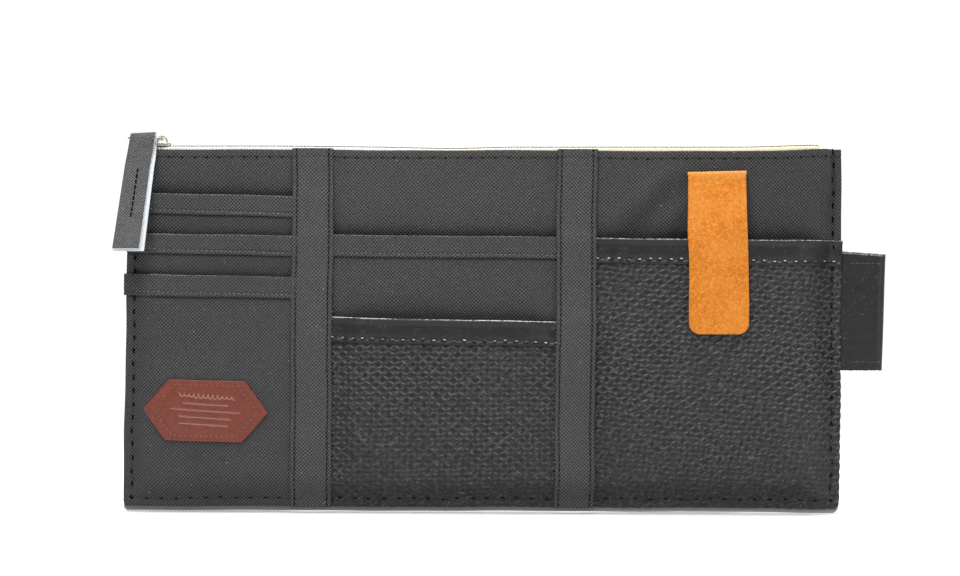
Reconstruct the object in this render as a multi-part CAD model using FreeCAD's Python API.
"""Car sun-visor organiser: a flat zipped pouch with card slots, pockets, a glasses clip and a pen loop.

Millimetres. +X runs along the long side, +Z up, and the pockets face -Y.
The origin is the centre of the back panel's outer face, which lies against the sun visor.
"""
import FreeCAD
import Part
import math
import os

V = FreeCAD.Vector
X_DIR, Y_DIR, Z_DIR = V(1, 0, 0), V(0, 1, 0), V(0, 0, 1)

# Outline of the pouch
WIDTH = 320.0
HEIGHT = 162.0
HALF_W = WIDTH / 2
HALF_H = HEIGHT / 2
CORNER_R = 2.5

# Layers, from the back face (y = 0) forwards
REAR_T = 1.0
BOARD_T = 1.2
LINING_T = 0.6
POCKET_GAP = 4.6
FRONT_T = 1.0
BOARD_HALF_W = 153.5
BOARD_Z = (-73.0, 79.0)
LINING_Z = (-73.0, 80.5)

# The front panel: a sewn flange round three sides, a steep side wall, then the flat face
FLANGE_X = 159.6
FLANGE_BOTTOM = -79.8
WALL_FOOT_X = 155.5
WALL_FOOT_Z = -74.7
WALL_RUN = 3.5
FRONT_TOP = 80.5
LINING_FACE = -(REAR_T + BOARD_T + LINING_T)
FACE_Y = LINING_FACE - POCKET_GAP - FRONT_T
FLANGE_Y = -REAR_T - FRONT_T

# Fabric layers on the face, each LAYER_T thick, and the folded binding along each mouth
LAYER_T = 0.7
BINDING_T = 0.5
LIP_H = 0.4
SLOT_BINDING_H = 9.0
SLOT_MOUTHS = (60.0, 42.0, 24.0)
SLIP_MOUTH = 42.0

# Divider bands
BAND_LEFT = (-84.4, -67.0)
BAND_RIGHT = (33.4, 51.8)
BAND_LEVEL = 3.0
BAND_TOP_LEVEL = 1.2
BAND_STEP_REACH = 1.0
BAND_LEFT_MID = sum(BAND_LEFT) / 2
BAND_RIGHT_MID = sum(BAND_RIGHT) / 2

# Mesh pockets
MESH_T = 0.8
MESH_GAP = 4.6
MESH_RISE_RUN = 7.0
MESH_BINDING_H = 9.4
MESH_FOOT_Z = -70.0
MID_MESH_MOUTH = 4.8
RIGHT_MESH_MOUTH = 40.3
MESH_EDGE_INSET = 1.2
RIGHT_MESH_EDGE = 150.8

# Leather patch: a stretched hexagon
PATCH_CENTRE = (-123.3, -36.2)
PATCH_HALF_L = 27.7
PATCH_HALF_FLAT = 16.9
PATCH_HALF_H = 13.6
PATCH_TILT_DEG = 2.0
PATCH_T = 1.2

# Glasses clip: a suede strip folded at the top, its back leaf sewn on and its front leaf free
CLIP_X = (92.5, 119.3)
CLIP_T = 1.2
CLIP_FOLD_GAP = 0.4
CLIP_FOLD_Z = 69.6
CLIP_LEAF_BOTTOM = 44.0
CLIP_KNEE_Z = 41.5
CLIP_BOTTOM = -1.8
CLIP_CORNER_R = 4.3
CLIP_CLEAR = 0.3
MAGNET_R = 6.0
MAGNET_Z = 10.0
FLAP_MAGNET_T = 0.6
PANEL_MAGNET_T = 1.0

# Pen loop: a flattened teardrop tube of coated fabric on the right edge
LOOP_Z = (-18.3, 34.5)
LOOP_T = 0.9
LOOP_TAIL = 6.0
LOOP_TIP_GAP = 0.3
LOOP_SHOULDER = 6.0
LOOP_HALF_OUT = 3.4
LOOP_NOSE_X = 181.0

# Elastic straps on the back that hold the sun visor
STRAP_CENTRES = {"left": -100.0, "right": 100.0}
STRAP_W = 38.0
STRAP_T = 1.2
STRAP_END_Z = 76.0
STRAP_SEWN = 7.0
STRAP_RISE = 12.0
STRAP_BOW = 8.0
STRAP_JOIN_GAP = 0.4

# Zip: coil, tapes and stops
ZIP_Y = LINING_FACE - POCKET_GAP / 2
TAPE_T = 0.5
TAPE_BOTTOM = 70.0
TAPE_TOP = 82.1
TAPE_LEG_HALF_X = 150.5
TAPE_HALF_X = 153.0
COIL_HALF_X = 149.0
COIL_H = 1.8
COIL_Z = TAPE_TOP - TAPE_T / 2
COIL_GAP = 1.0
COIL_W = 0.8
STOP_L = 2.4

# Slider
SLIDER_X = -144.0
SLIDER_L = 9.0
SLIDER_TOP_W = 5.8
SLIDER_BOTTOM_W = 3.0
SLIDER_CLEAR = 0.35
SLIDER_PLATE_T = 0.9
SLIDER_LIP_W = 0.7
SLIDER_CORNER_R = 1.4
SLIDER_POST_W = 0.4
SLIDER_POST_L = 3.0
BRIDGE_X = (-146.4, -140.4)
BRIDGE_W = 1.8
BRIDGE_H = 3.8
BRIDGE_WALL = 1.1
BRIDGE_ROOF = 0.8

# Rectangular pull ring and the folded strap on its front rail
RING_WIRE_R = 0.65
RING_NEAR_X = -143.4
RING_FAR_X = -158.8
RING_HALF_Y = 5.8
RING_Z = 85.9
RING_CORNER_R = 1.6
PULL_X = (-157.0, -146.3)
PULL_T = 1.1
PULL_INNER_R = 1.2
PULL_BOTTOM_Z = 36.3
PULL_LEAN_DEG = 9.0
PULL_SLANT_DEG = 8.7
PULL_PINCH_DROP = 9.0
PULL_REACH = 12.0


def box(x0, x1, y0, y1, z0, z1):
    """A box from its six bounds, given in any order."""
    lo = V(min(x0, x1), min(y0, y1), min(z0, z1))
    size = V(abs(x1 - x0), abs(y1 - y0), abs(z1 - z0))
    return Part.makeBox(size.x, size.y, size.z, lo)


def along(edge, direction):
    """True for an edge that runs along a direction."""
    return abs(edge.tangentAt(edge.FirstParameter).dot(direction)) > 0.99


def rectangle(x0, x1, z0, z1, y):
    """A closed rectangular wire at one depth."""
    corners = [V(x0, y, z0), V(x1, y, z0), V(x1, y, z1), V(x0, y, z1)]
    return Part.makePolygon(corners + corners[:1])


def prism(points, direction):
    """The closed outline through the points, swept along a vector."""
    return Part.Face(Part.makePolygon(points + points[:1])).extrude(direction)


def frustum(foot, crown, foot_y, crown_y):
    """A solid between two rectangles (x0, x1, z0, z1) at two depths."""
    wires = [rectangle(*foot, foot_y), rectangle(*crown, crown_y)]
    return Part.makeLoft(wires, True, True)


def face_solid(level):
    """Everything behind the pouch's front surface, raised by level, back to the rear panel."""
    foot = (-WALL_FOOT_X, WALL_FOOT_X, WALL_FOOT_Z, FRONT_TOP)
    crown = (-WALL_FOOT_X + WALL_RUN, WALL_FOOT_X - WALL_RUN, WALL_FOOT_Z + WALL_RUN, FRONT_TOP)
    hump = frustum(foot, crown, FLANGE_Y - level, FACE_Y - level)
    if level <= -FRONT_T:
        return hump
    flange = box(-FLANGE_X, FLANGE_X, -REAR_T, FLANGE_Y - level, FLANGE_BOTTOM, FRONT_TOP)
    return flange.fuse(hump).removeSplitter()


def layer(x_range, z_range, low, high):
    """A fabric layer that follows the front surface between two levels."""
    region = box(*x_range, 0, FACE_Y - 20, *z_range)
    return face_solid(high).cut(face_solid(low)).common(region)


def bulge_solid(x_range, mouth, base, rise):
    """Everything behind a mesh pocket's surface, which stands MESH_GAP off the layer under it."""
    y = FACE_Y - base - rise
    foot = (x_range[0], x_range[1], MESH_FOOT_Z, mouth)
    crown = (x_range[0] + MESH_RISE_RUN, x_range[1] - MESH_RISE_RUN, MESH_FOOT_Z + MESH_RISE_RUN, mouth)
    return frustum(foot, crown, y, y - MESH_GAP)


def pocket_solid(seams, x_range, mouth, base, rise):
    """The front surface plus the bulge, raised by rise, within the pocket's seams."""
    region = box(*seams, 0, FACE_Y - 20, FLANGE_BOTTOM, mouth)
    foot = box(*x_range, FACE_Y, FACE_Y - base - rise, MESH_FOOT_Z, mouth)
    skin = face_solid(base + rise).common(region)
    if base + rise > 0:
        skin = skin.fuse(foot)
    return skin.fuse(bulge_solid(x_range, mouth, base, rise))


def mesh_pocket(seams, x_range, mouth, base):
    """A mesh pocket's shell, open at the mouth."""
    outer = pocket_solid(seams, x_range, mouth, base, MESH_T)
    return outer.cut(face_solid(base)).cut(bulge_solid(x_range, mouth, base, 0)).removeSplitter()


def mesh_binding(seams, x_range, mouth, base):
    """The coated strip folded over a mesh pocket's mouth."""
    outer = pocket_solid(seams, x_range, mouth + LIP_H, base, MESH_T + BINDING_T)
    cloth = pocket_solid(seams, x_range, mouth, base, MESH_T)
    band = box(*seams, 0, FACE_Y - 20, mouth - MESH_BINDING_H, mouth + LIP_H)
    inside = bulge_solid(x_range, mouth + LIP_H, base, 0)
    return outer.common(band).cut(cloth).cut(face_solid(base)).cut(inside).removeSplitter()


def binding(x_range, mouth, low):
    """The folded strip along a flat pocket's mouth: a front leaf and a lip over the edge."""
    high = low + LAYER_T
    leaf = layer(x_range, (mouth - SLOT_BINDING_H, mouth), high, high + BINDING_T)
    lip = layer(x_range, (mouth, mouth + LIP_H), low, high + BINDING_T)
    return leaf.fuse(lip).removeSplitter()


def divider_band(x_range, step_z, covered):
    """A band sewn over the pocket edges, shaped by what it covers, and thinner above the top mouth."""
    low = layer(x_range, (FLANGE_BOTTOM, step_z), 0, BAND_LEVEL)
    high = layer(x_range, (step_z, FRONT_TOP), 0, BAND_TOP_LEVEL)
    return low.fuse(high).cut(covered).removeSplitter()


def rear_panel():
    """The back panel, trimmed where the pen loop's tail is sewn in."""
    panel = box(-HALF_W, HALF_W, -REAR_T, 0, -HALF_H, HALF_H)
    panel = panel.makeFillet(CORNER_R, [e for e in panel.Edges if along(e, Y_DIR)])
    return panel.cut(box(HALF_W - LOOP_TAIL, HALF_W + 1, -REAR_T, 0, *LOOP_Z))


def leather_patch(level):
    """A hexagonal leather label on the lowest slot's face."""
    cx, cz = PATCH_CENTRE
    y = FACE_Y - level
    outline = [
        (-PATCH_HALF_L, 0), (-PATCH_HALF_FLAT, -PATCH_HALF_H), (PATCH_HALF_FLAT, -PATCH_HALF_H),
        (PATCH_HALF_L, 0), (PATCH_HALF_FLAT, PATCH_HALF_H), (-PATCH_HALF_FLAT, PATCH_HALF_H),
    ]
    patch = prism([V(cx + x, y, cz + z) for x, z in outline], V(0, -PATCH_T, 0))
    return patch.rotate(V(cx, y, cz), Y_DIR, PATCH_TILT_DEG)


def clip_depths():
    """The clip's y faces: leaf front, flap back at the fold, and flap back below the knee."""
    leaf_front = FACE_Y - CLIP_T
    mesh_front = FACE_Y - MESH_GAP - MESH_T - BINDING_T
    return leaf_front, leaf_front - CLIP_FOLD_GAP, mesh_front - CLIP_CLEAR


def clip_back_leaf():
    """The sewn leaf of the glasses clip."""
    return box(*CLIP_X, FACE_Y, FACE_Y - CLIP_T, CLIP_LEAF_BOTTOM, CLIP_FOLD_Z)


def clip_fold():
    """The half turn of suede that joins the two leaves."""
    leaf_front, flap_back, _ = clip_depths()
    centre = V(CLIP_X[0], (leaf_front + flap_back) / 2, CLIP_FOLD_Z)
    inner = CLIP_FOLD_GAP / 2
    length = CLIP_X[1] - CLIP_X[0]
    ring = Part.makeCylinder(inner + CLIP_T, length, centre, X_DIR)
    ring = ring.cut(Part.makeCylinder(inner, length, centre, X_DIR))
    return ring.common(box(*CLIP_X, FACE_Y, FACE_Y - 10, CLIP_FOLD_Z, CLIP_FOLD_Z + 5))


def clip_flap():
    """The free leaf, which passes over the mesh pocket's mouth and hangs in front of it."""
    _, top, low = clip_depths()
    x0, x1 = CLIP_X
    profile = [
        V(x0, top, CLIP_FOLD_Z), V(x0, low, CLIP_KNEE_Z), V(x0, low, CLIP_BOTTOM),
        V(x0, low - CLIP_T, CLIP_BOTTOM), V(x0, low - CLIP_T, CLIP_KNEE_Z), V(x0, top - CLIP_T, CLIP_FOLD_Z),
    ]
    flap = prism(profile, V(x1 - x0, 0, 0))
    ends = [e for e in flap.Edges if along(e, Y_DIR) and abs(e.CenterOfMass.z - CLIP_BOTTOM) < 0.01]
    return flap.makeFillet(CLIP_CORNER_R, ends).cut(flap_magnet())


def flap_magnet():
    """The disc magnet between the flap's two plies."""
    _, _, low = clip_depths()
    y = low - (CLIP_T - FLAP_MAGNET_T) / 2
    return Part.makeCylinder(MAGNET_R, FLAP_MAGNET_T, V(sum(CLIP_X) / 2, y, MAGNET_Z), V(0, -1, 0))


def panel_magnet():
    """The counter magnet, fixed to the inside of the front panel."""
    y = FACE_Y + FRONT_T
    return Part.makeCylinder(MAGNET_R, PANEL_MAGNET_T, V(sum(CLIP_X) / 2, y, MAGNET_Z), Y_DIR)


def pen_loop_tail():
    """The pen loop's two leaves where they are sewn into the side seam."""
    return box(HALF_W - LOOP_TAIL, HALF_W, -REAR_T, 0, *LOOP_Z)


def teardrop(tip_x, shoulder_x, half, nose_x):
    """A teardrop outline in plan: a point, two straight sides and a round nose."""
    y = -REAR_T / 2
    z = LOOP_Z[0]
    centre_x = nose_x - half
    tip = V(tip_x, y, z)
    front, rear = V(shoulder_x, y - half, z), V(shoulder_x, y + half, z)
    nose_front, nose_rear = V(centre_x, y - half, z), V(centre_x, y + half, z)
    edges = [
        Part.makeLine(tip, front), Part.makeLine(front, nose_front),
        Part.Arc(nose_front, V(nose_x, y, z), nose_rear).toShape(),
        Part.makeLine(nose_rear, rear), Part.makeLine(rear, tip),
    ]
    return Part.Face(Part.Wire(edges)).extrude(V(0, 0, LOOP_Z[1] - LOOP_Z[0]))


def pen_loop():
    """The tube that holds a pen, open at the top and the bottom."""
    tip = HALF_W + LOOP_TIP_GAP
    shoulder = HALF_W + LOOP_SHOULDER
    outer = teardrop(tip, shoulder, LOOP_HALF_OUT, LOOP_NOSE_X)
    inner = teardrop(tip + 2 * LOOP_T, shoulder + LOOP_T / 3, LOOP_HALF_OUT - LOOP_T, LOOP_NOSE_X - LOOP_T)
    return outer.cut(inner)


def visor_strap(centre_x):
    """An elastic strap, bowed off the back panel so that the visor passes through."""
    x = centre_x - STRAP_W / 2
    foot = STRAP_END_Z - STRAP_SEWN - STRAP_JOIN_GAP
    crown = foot - STRAP_RISE
    inner_y = [(STRAP_JOIN_GAP, foot), (STRAP_BOW, crown)]
    inner = inner_y + [(y, -z) for y, z in reversed(inner_y)]
    outer = [(y + STRAP_T, z) for y, z in reversed(inner)]
    return prism([V(x, y, z) for y, z in inner + outer], V(STRAP_W, 0, 0))


def visor_strap_ends(centre_x):
    """The strap's two ends, sewn flat to the back panel."""
    x_range = (centre_x - STRAP_W / 2, centre_x + STRAP_W / 2)
    ends = [
        box(*x_range, 0, STRAP_T, side * (STRAP_END_Z - STRAP_SEWN), side * STRAP_END_Z)
        for side in (1, -1)
    ]
    return Part.makeCompound(ends)


def zip_tape(side):
    """One zip tape: a leg sewn to the panel and a ledge that carries the coil. side is -1 in front."""
    wall_y = ZIP_Y + side * POCKET_GAP / 2
    coil_y = ZIP_Y + side * (COIL_GAP / 2 + COIL_W)
    leg = box(-TAPE_LEG_HALF_X, TAPE_LEG_HALF_X, wall_y, wall_y - side * TAPE_T, TAPE_BOTTOM, TAPE_TOP)
    ledge = box(-TAPE_HALF_X, TAPE_HALF_X, wall_y, coil_y, TAPE_TOP - TAPE_T, TAPE_TOP)
    return leg.fuse(ledge).removeSplitter()


def zip_coil(side):
    """One row of the coil, as the plain bar that its turns fill. side is -1 in front."""
    near = ZIP_Y + side * COIL_GAP / 2
    return box(-COIL_HALF_X, COIL_HALF_X, near, near + side * COIL_W, COIL_Z - COIL_H / 2, COIL_Z + COIL_H / 2)


def zip_stops():
    """The metal stops that end the zip at both sides."""
    half_y = COIL_GAP / 2 + COIL_W
    stops = [
        box(side * COIL_HALF_X, side * (COIL_HALF_X + STOP_L), ZIP_Y - half_y, ZIP_Y + half_y,
            COIL_Z - COIL_H / 2, COIL_Z + COIL_H / 2)
        for side in (1, -1)
    ]
    return Part.makeCompound(stops)


def zip_slider():
    """The slider: two plates joined by a post between the coil rows, with the ring's bridge on top."""
    x0, x1 = SLIDER_X - SLIDER_L / 2, SLIDER_X + SLIDER_L / 2
    top_z = COIL_Z + COIL_H / 2 + SLIDER_CLEAR
    low_z = COIL_Z - COIL_H / 2 - SLIDER_CLEAR
    roof_z = top_z + SLIDER_PLATE_T
    half_top = SLIDER_TOP_W / 2
    half_low = SLIDER_BOTTOM_W / 2
    body = box(x0, x1, ZIP_Y - half_top, ZIP_Y + half_top, top_z, roof_z)
    body = body.makeFillet(SLIDER_CORNER_R, [e for e in body.Edges if along(e, Z_DIR)])
    body = body.fuse(box(x0, x1, ZIP_Y - half_low, ZIP_Y + half_low, low_z, low_z - SLIDER_PLATE_T))
    for side in (1, -1):
        edge = ZIP_Y + side * half_top
        lip = box(x0 + SLIDER_CORNER_R, x1 - SLIDER_CORNER_R, edge, edge - side * SLIDER_LIP_W,
                  TAPE_TOP + SLIDER_CLEAR, top_z)
        body = body.fuse(lip)
    half_post = SLIDER_POST_W / 2
    post = box(x0, x0 + SLIDER_POST_L, ZIP_Y - half_post, ZIP_Y + half_post, low_z, top_z)
    bridge = box(*BRIDGE_X, ZIP_Y - BRIDGE_W / 2, ZIP_Y + BRIDGE_W / 2, roof_z, roof_z + BRIDGE_H)
    arch = box(BRIDGE_X[0] + BRIDGE_WALL, BRIDGE_X[1] - BRIDGE_WALL, ZIP_Y - BRIDGE_W, ZIP_Y + BRIDGE_W,
               roof_z, roof_z + BRIDGE_H - BRIDGE_ROOF)
    return body.fuse(post).fuse(bridge.cut(arch)).removeSplitter()


def pull_ring():
    """A rectangular wire ring with rounded corners; its near rail turns in the slider's bridge."""
    y0, y1 = ZIP_Y - RING_HALF_Y, ZIP_Y + RING_HALF_Y
    corners = [V(RING_FAR_X, y0, RING_Z), V(RING_NEAR_X, y0, RING_Z),
               V(RING_NEAR_X, y1, RING_Z), V(RING_FAR_X, y1, RING_Z)]
    edges = []
    for i, here in enumerate(corners):
        after = corners[(i + 1) % 4]
        back = (corners[i - 1] - here).normalize()
        ahead = (after - here).normalize()
        start, end = here + back * RING_CORNER_R, here + ahead * RING_CORNER_R
        middle = here + (back + ahead) * (RING_CORNER_R * (1 - math.sqrt(0.5)))
        edges.append(Part.Arc(start, middle, end).toShape())
        edges.append(Part.makeLine(end, after - ahead * RING_CORNER_R))
    profile = Part.Wire(Part.makeCircle(RING_WIRE_R, corners[0] + V(0, RING_CORNER_R, 0), Y_DIR))
    return Part.Wire(edges).makePipeShell([profile], True, True)


def strap_section(radius, foot_half, foot_z, bottom_z):
    """A fold's outline seen along the rail: half a turn over the rail, tapering to a foot."""
    y = ZIP_Y - RING_HALF_Y
    x = PULL_X[0] - PULL_REACH
    points = [V(x, y + radius, RING_Z), V(x, y + foot_half, foot_z)]
    if bottom_z < foot_z:
        points += [V(x, y + foot_half, bottom_z), V(x, y - foot_half, bottom_z)]
    if foot_half:
        points += [V(x, y - foot_half, foot_z)]
    points += [V(x, y - radius, RING_Z)]
    edges = [Part.makeLine(a, b) for a, b in zip(points, points[1:])]
    edges.append(Part.Arc(points[-1], V(x, y, RING_Z + radius), points[0]).toShape())
    return Part.Face(Part.Wire(edges)).extrude(V(PULL_X[1] - PULL_X[0] + 2 * PULL_REACH, 0, 0))


def pull_strap():
    """The coated strap folded over the ring's front rail: slanted ends, leaning off the pockets."""
    rail = V(PULL_X[0], ZIP_Y - RING_HALF_Y, RING_Z)
    bottom_z = RING_Z - (RING_Z - PULL_BOTTOM_Z) / math.cos(math.radians(PULL_LEAN_DEG))
    foot_z = RING_Z - PULL_PINCH_DROP
    outer = strap_section(PULL_INNER_R + PULL_T, PULL_T, foot_z, bottom_z)
    strap = outer.cut(strap_section(PULL_INNER_R, 0, foot_z, foot_z))
    slope = math.tan(math.radians(PULL_SLANT_DEG))
    top_z = RING_Z + PULL_REACH
    depth = V(0, 2 * PULL_REACH, 0)
    outline = [
        V(x + (z - RING_Z) * slope, rail.y - PULL_REACH, z)
        for x, z in ((PULL_X[0], top_z), (PULL_X[1], top_z), (PULL_X[1], bottom_z), (PULL_X[0], bottom_z))
    ]
    strap = strap.common(prism(outline, depth))
    return strap.rotate(rail, X_DIR, -PULL_LEAN_DEG)


def build():
    """Every node of the organiser, by name."""
    left = (-FLANGE_X, BAND_LEFT_MID)
    middle = (BAND_LEFT_MID, BAND_RIGHT_MID)
    right = (BAND_RIGHT_MID, FLANGE_X)
    mid_bulge = (BAND_LEFT[1] + MESH_EDGE_INSET, BAND_RIGHT[0] - MESH_EDGE_INSET)
    right_bulge = (BAND_RIGHT[1] + MESH_EDGE_INSET, RIGHT_MESH_EDGE)
    nodes = {
        "rear_panel": rear_panel(),
        "stiffener_board": box(-BOARD_HALF_W, BOARD_HALF_W, -REAR_T, -REAR_T - BOARD_T, *BOARD_Z),
        "rear_lining": box(-BOARD_HALF_W, BOARD_HALF_W, -REAR_T - BOARD_T, LINING_FACE, *LINING_Z),
        "front_panel": layer((-HALF_W, HALF_W), (-HALF_H, HALF_H), -FRONT_T, 0),
    }
    for i, mouth in enumerate(SLOT_MOUTHS):
        low = i * LAYER_T
        nodes[f"card_slot_{i + 1}"] = layer(left, (FLANGE_BOTTOM, mouth), low, low + LAYER_T)
        nodes[f"card_slot_binding_{i + 1}"] = binding(left, mouth, low)
    nodes["slip_pocket"] = layer(middle, (FLANGE_BOTTOM, SLIP_MOUTH), 0, LAYER_T)
    nodes["slip_pocket_binding"] = binding(middle, SLIP_MOUTH, 0)
    nodes["mid_mesh_pocket"] = mesh_pocket(middle, mid_bulge, MID_MESH_MOUTH, LAYER_T)
    nodes["mid_mesh_binding"] = mesh_binding(middle, mid_bulge, MID_MESH_MOUTH, LAYER_T)
    nodes["right_mesh_pocket"] = mesh_pocket(right, right_bulge, RIGHT_MESH_MOUTH, 0)
    nodes["right_mesh_binding"] = mesh_binding(right, right_bulge, RIGHT_MESH_MOUTH, 0)
    covered = [shape for name, shape in nodes.items() if "slot" in name or "slip" in name or "mesh" in name]
    nodes["divider_band_left"] = divider_band(BAND_LEFT, SLOT_MOUTHS[0] + LIP_H + BAND_STEP_REACH, covered)
    nodes["divider_band_right"] = divider_band(BAND_RIGHT, SLIP_MOUTH + LIP_H + BAND_STEP_REACH, covered)
    nodes["leather_patch"] = leather_patch(len(SLOT_MOUTHS) * LAYER_T)
    nodes["clip_back_leaf"] = clip_back_leaf()
    nodes["clip_fold"] = clip_fold()
    nodes["clip_flap"] = clip_flap()
    nodes["clip_flap_magnet"] = flap_magnet()
    nodes["clip_panel_magnet"] = panel_magnet()
    nodes["pen_loop_tail"] = pen_loop_tail()
    nodes["pen_loop"] = pen_loop()
    for side, centre_x in STRAP_CENTRES.items():
        nodes[f"visor_strap_{side}"] = visor_strap(centre_x)
        nodes[f"visor_strap_{side}_ends"] = visor_strap_ends(centre_x)
    for name, side in (("front", -1), ("rear", 1)):
        nodes[f"zip_tape_{name}"] = zip_tape(side)
        nodes[f"zip_coil_{name}"] = zip_coil(side)
    nodes["zip_stops"] = zip_stops()
    nodes["zip_slider"] = zip_slider()
    nodes["pull_ring"] = pull_ring()
    nodes["pull_strap"] = pull_strap()
    return nodes


def main():
    """Write one STEP file per node."""
    os.makedirs("parts", exist_ok=True)
    for name, shape in build().items():
        shape.exportStep(f"parts/{name}.step")
        print(f"{name:24} solids {len(shape.Solids)} valid {shape.isValid()} volume {shape.Volume:.1f}")


main()
